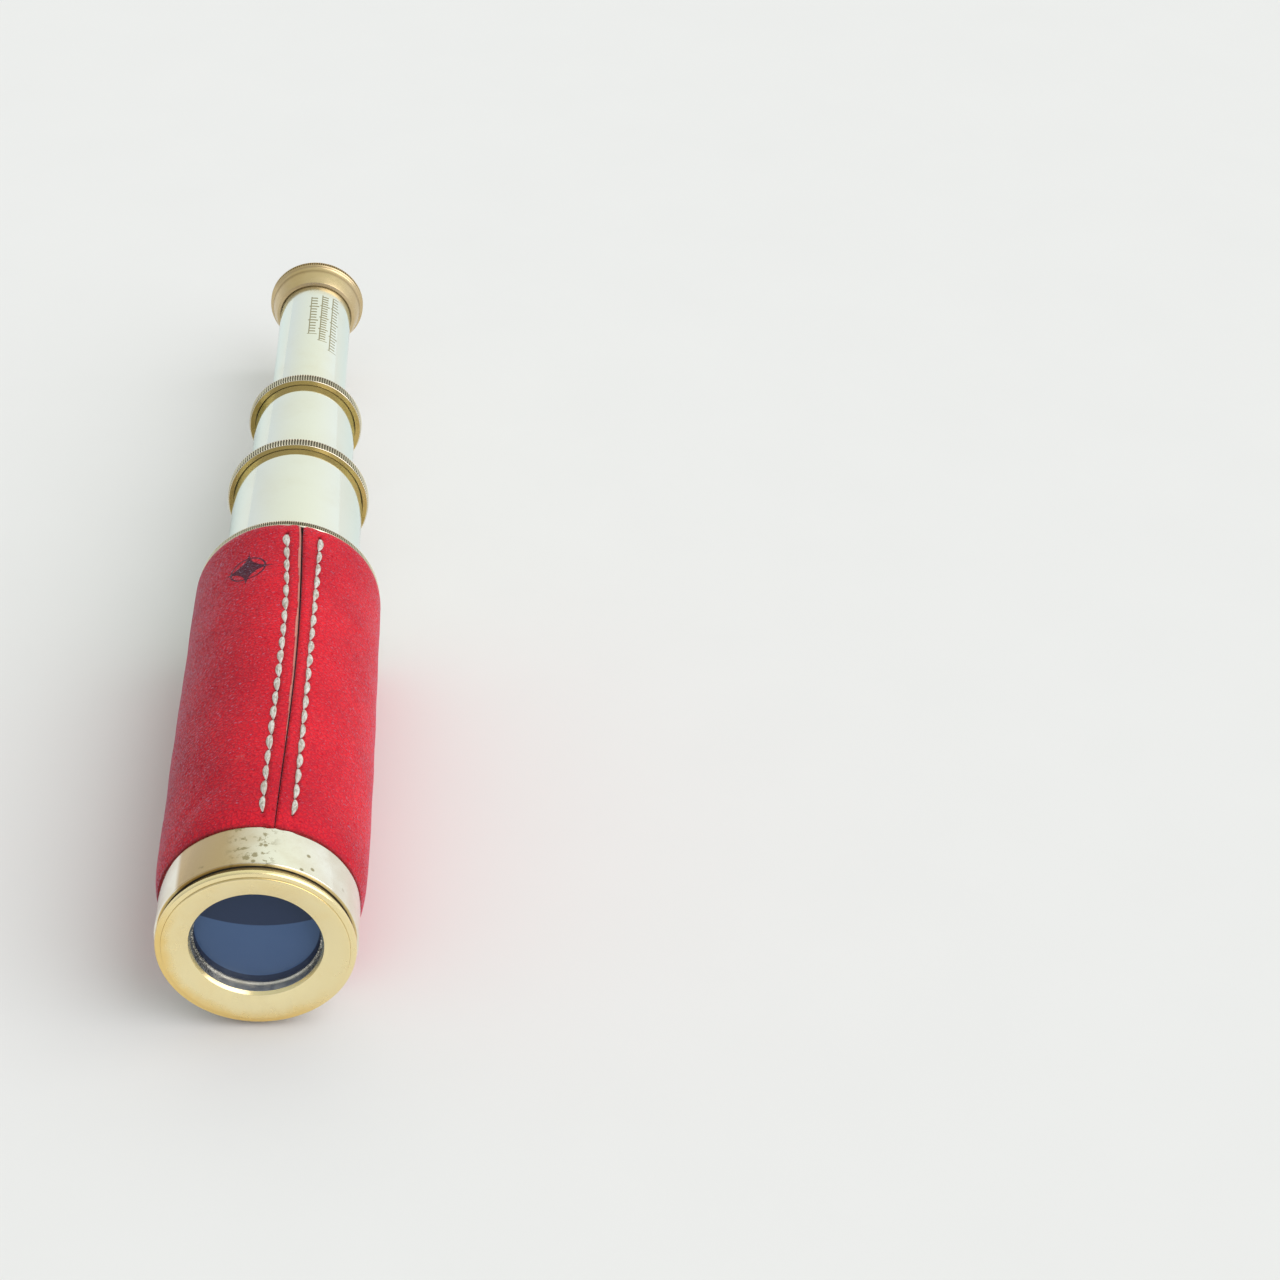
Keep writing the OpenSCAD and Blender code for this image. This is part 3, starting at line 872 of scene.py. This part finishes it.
def leather_material():
    """Red leather with a fine pebbled grain, painted shade that darkens its left side, and a stamped star
    near the eye end.
    """
    t = Tree("red_leather")
    tone = t.noise(t.place, 38, 4, 0.55)
    mottle = t.noise(t.place, 160, 4, 0.6)
    bent = t.times(t.noise(t.place, 700, 2), 1.6)
    grid = t.node("VectorMath", {"operation": "ADD"}, {0: t.scaled(t.uv, 960, 1050), 1: bent}).outputs[0]
    pebble = t.cells(grid, 1.0, "DISTANCE_TO_EDGE")
    crease = t.noise(t.scaled(t.uv, 1300, 1700), 1.0, 3, 0.6, 0.6)
    grain = t.plus(t.step(pebble, 0.0, 0.30), t.times(crease, 0.5))
    x, y, _ = t.split(t.uv)
    base = t.mix(t.step(tone, 0.3, 0.72), (0.57, 0.009, 0.023), (0.78, 0.014, 0.030))
    base = t.mix(t.times(t.step(mottle, 0.55, 0.8), 0.5), base, (0.87, 0.026, 0.042))
    # Painted shade: the left side is darkened, and the grain's valleys are darker there than on the right.
    left = t.times(t.step(x, 4 * MM, -20 * MM), t.step(x, -66 * MM, -45 * MM))
    base = t.mix(t.times(left, 0.24), base, (0.08, 0.002, 0.012))
    valleys = t.times(t.step(pebble, 0.17, 0.02), t.step(left, 0.0, 1.0, 0.38, 0.60))
    base = t.mix(valleys, base, (0.24, 0.005, 0.030))
    scuff = t.times(t.step(t.noise(t.scaled(t.uv, 120, 60), 1.0, 2), 0.62, 0.74), t.step(mottle, 0.56, 0.62))
    base = t.mix(t.times(scuff, 0.35), base, (0.75, 0.22, 0.20))
    # Painted shade with worn marks: dark at the cut edges, along the stitch rows, in the stitch holes and at
    # the front edge.
    base = t.mix(t.times(t.attribute("wear_and_shade"), 0.92), base, (0.05, 0.012, 0.010))
    ink = t.times(compass_star(t, x, y), t.step(crease, 0.25, 0.5, 0.75, 0.95))
    base = t.mix(ink, base, (0.045, 0.012, 0.028))
    base = t.mix(t.attribute("raw_edge"), base, (0.60, 0.27, 0.21))
    t.set(Base_Color=base, Roughness=t.step(crease, 0.3, 0.7, 0.52, 0.44), Normal=t.bump(grain, 0.1 * MM))
    t.set(Sheen_Weight=0.38, Sheen_Roughness=0.17, Sheen_Tint=(0.62, 0.66, 1.0, 1))
    t.set(Specular_IOR_Level=0.16, Specular_Tint=(1.0, 0.74, 0.84, 1))
    return t.material


leather = leather_wrap(leather_material())
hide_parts("leather_wrap")

# Stitches

STITCH_RINGS = 14
STITCH_SIDES = 10
STITCH_SEED = {"left": 11, "right": 12}
BULKY_END = 1.2  # the last stitch of a row is this much wider


def stitch_row(name, row, row_turn, material):
    """Flat waxed stitches, each a leaf whose two ends dip into its holes."""
    rng = np.random.default_rng(STITCH_SEED[row])
    points, faces = [], []
    mirror = -1 if row == "left" else 1
    for number, (front, back) in enumerate(stitch_stations(row)):
        width = rng.uniform(0.70, 0.84) * (BULKY_END if number == STITCH_COUNT - 1 else 1.0)
        lean = rng.uniform(0.0, 0.22)
        first = len(points)
        for j in range(STITCH_RINGS + 1):
            share = j / STITCH_RINGS
            swell = math.sin(math.pi * share**0.92) ** 0.58
            s = (front + back) / 2 + (2 * share - 1) * (back - front) / 2
            centre = mirror * (0.12 * swell + lean * (share - 0.5))
            for k in range(STITCH_SIDES):
                a = FULL_TURN * k / STITCH_SIDES
                side = math.cos(a) * width * swell * (1.0 if math.cos(a) * mirror > 0 else 0.72)
                plies = 0.05 * math.sin(a * 2 + share * 14)
                height = 0.34 + plies if math.sin(a) > 0 else 0.2
                r = leather_radius(s) - 0.55 + 0.55 * swell + math.sin(a) * height * swell
                points.append(place(r, s, float(row_turn(s)) + (side + centre) / LEATHER.r))
        for ring in range(first, first + STITCH_RINGS * STITCH_SIDES, STITCH_SIDES):
            for k in range(STITCH_SIDES):
                a, b = ring + k, ring + (k + 1) % STITCH_SIDES
                faces.append((a, b, b + STITCH_SIDES, a + STITCH_SIDES))
        last = first + STITCH_RINGS * STITCH_SIDES
        faces.append(tuple(first + k for k in reversed(range(STITCH_SIDES))))
        faces.append(tuple(last + k for k in range(STITCH_SIDES)))
    made = mesh_object(name, points, faces, "barrel", material, 60)
    unroll(made, LEATHER.r)
    return made


def thread_material():
    """Off-white waxed thread with dark fibres and soiled patches."""
    t = Tree("waxed_thread")
    fibre = t.noise(t.scaled(t.uv, 2600, 700), 1.0, 3, 0.6, 0.8)
    patch = t.noise(t.place, 500, 3)
    base = t.mix(t.step(fibre, 0.35, 0.6), (0.34, 0.30, 0.24), (0.70, 0.68, 0.63))
    base = t.mix(t.times(t.step(patch, 0.5, 0.7), 0.6), base, (0.40, 0.33, 0.25))
    t.set(Base_Color=base, Roughness=0.42, Normal=t.bump(fibre, 0.06 * MM, 0.8))
    return t.material


thread = thread_material()
for row, row_turn in (("left", left_row_turn), ("right", right_row_turn)):
    stitches = stitch_row(f"waxed_stitches_{row}", row, row_turn, thread)
    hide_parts(f"stitch_row_{row}")

# Glass and the dark inside


def objective_glass():
    """Dark blue coated glass over a blackened inside, with painted reflections: a navy crescent above and a
    navy band round the edge, and slate blue between them."""
    t = Tree("objective_glass")
    x, _, z = t.split(t.place)
    height = t.minus(z, AXIS_Z)
    # Painted reflections fixed on the glass: a dark crescent at the top, and a dark band round the edge that
    # is widest at the bottom.
    aside = t.minus(x, 2 * MM)
    crescent_edge = t.plus(3.2 * MM, t.times(t.times(aside, aside), 12.0))
    crescent = t.step(t.minus(height, crescent_edge), -0.12 * MM, 0.12 * MM)
    band = t.step(t.length(x, t.minus(height, 1.7 * MM)), 12.9 * MM, 13.1 * MM)
    film = t.mix(t.noise(t.place, 120, 3), (0.058, 0.105, 0.215), (0.070, 0.120, 0.232))
    t.set(Base_Color=t.mix(t.larger(crescent, band), film, (0.024, 0.034, 0.071)), Roughness=0.03)
    t.set(IOR=1.5, Specular_IOR_Level=0.4, Specular_Tint=(0.55, 0.75, 1.0, 1))
    return t.material


LENS_CURVE = 110  # radius in mm of the lens's front surface
front_surface = [
    [r, LENS.front + LENS_CURVE - math.sqrt(LENS_CURVE**2 - r * r)] for r in np.linspace(0.02, LENS.r, 24)
]
objective_lens = turned(
    "objective_lens",
    front_surface + [[LENS.r, LENS.front + 4.4], [0.02, LENS.front + 4.8]],
    "barrel",
    objective_glass(),
    fillet=0.05,
)
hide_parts("crown_lens")

clear = Tree("optical_glass")
clear.set(Base_Color=(1, 1, 1, 1), Roughness=0.02, IOR=1.52, Transmission_Weight=1.0)
clear.set(Specular_IOR_Level=0.5, Specular_Tint=(1, 1, 1, 1))
black = Tree("blackened_brass")
soot = black.mix(black.noise(black.place, 600, 3), (0.012, 0.012, 0.014), (0.03, 0.028, 0.026))
black.set(Base_Color=soot, Roughness=0.55, Metallic=0.0)
felt = Tree("felt")
fluff = felt.mix(felt.noise(felt.place, 2500, 3), (0.05, 0.02, 0.02), (0.12, 0.05, 0.045))
felt.set(Base_Color=fluff, Roughness=0.95, Sheen_Weight=0.4)

# The CAD nodes that stay get the material of their slot, and the barrel tube shows its blackened inside
FINISHES = {
    "polished_brass": polished,
    "gold_brass": gold,
    "blackened_brass": black.material,
    "felt": felt.material,
    "optical_glass": clear.material,
}
for part in frame["record"]["subparts"]:
    node = frame["nodes"].get(part["node"])
    finish = black.material if part["node"] == "barrel_tube" else FINISHES.get(part["material_slot"])
    if node is not None and finish is not None:
        node.data.materials.clear()
        node.data.materials.append(finish)
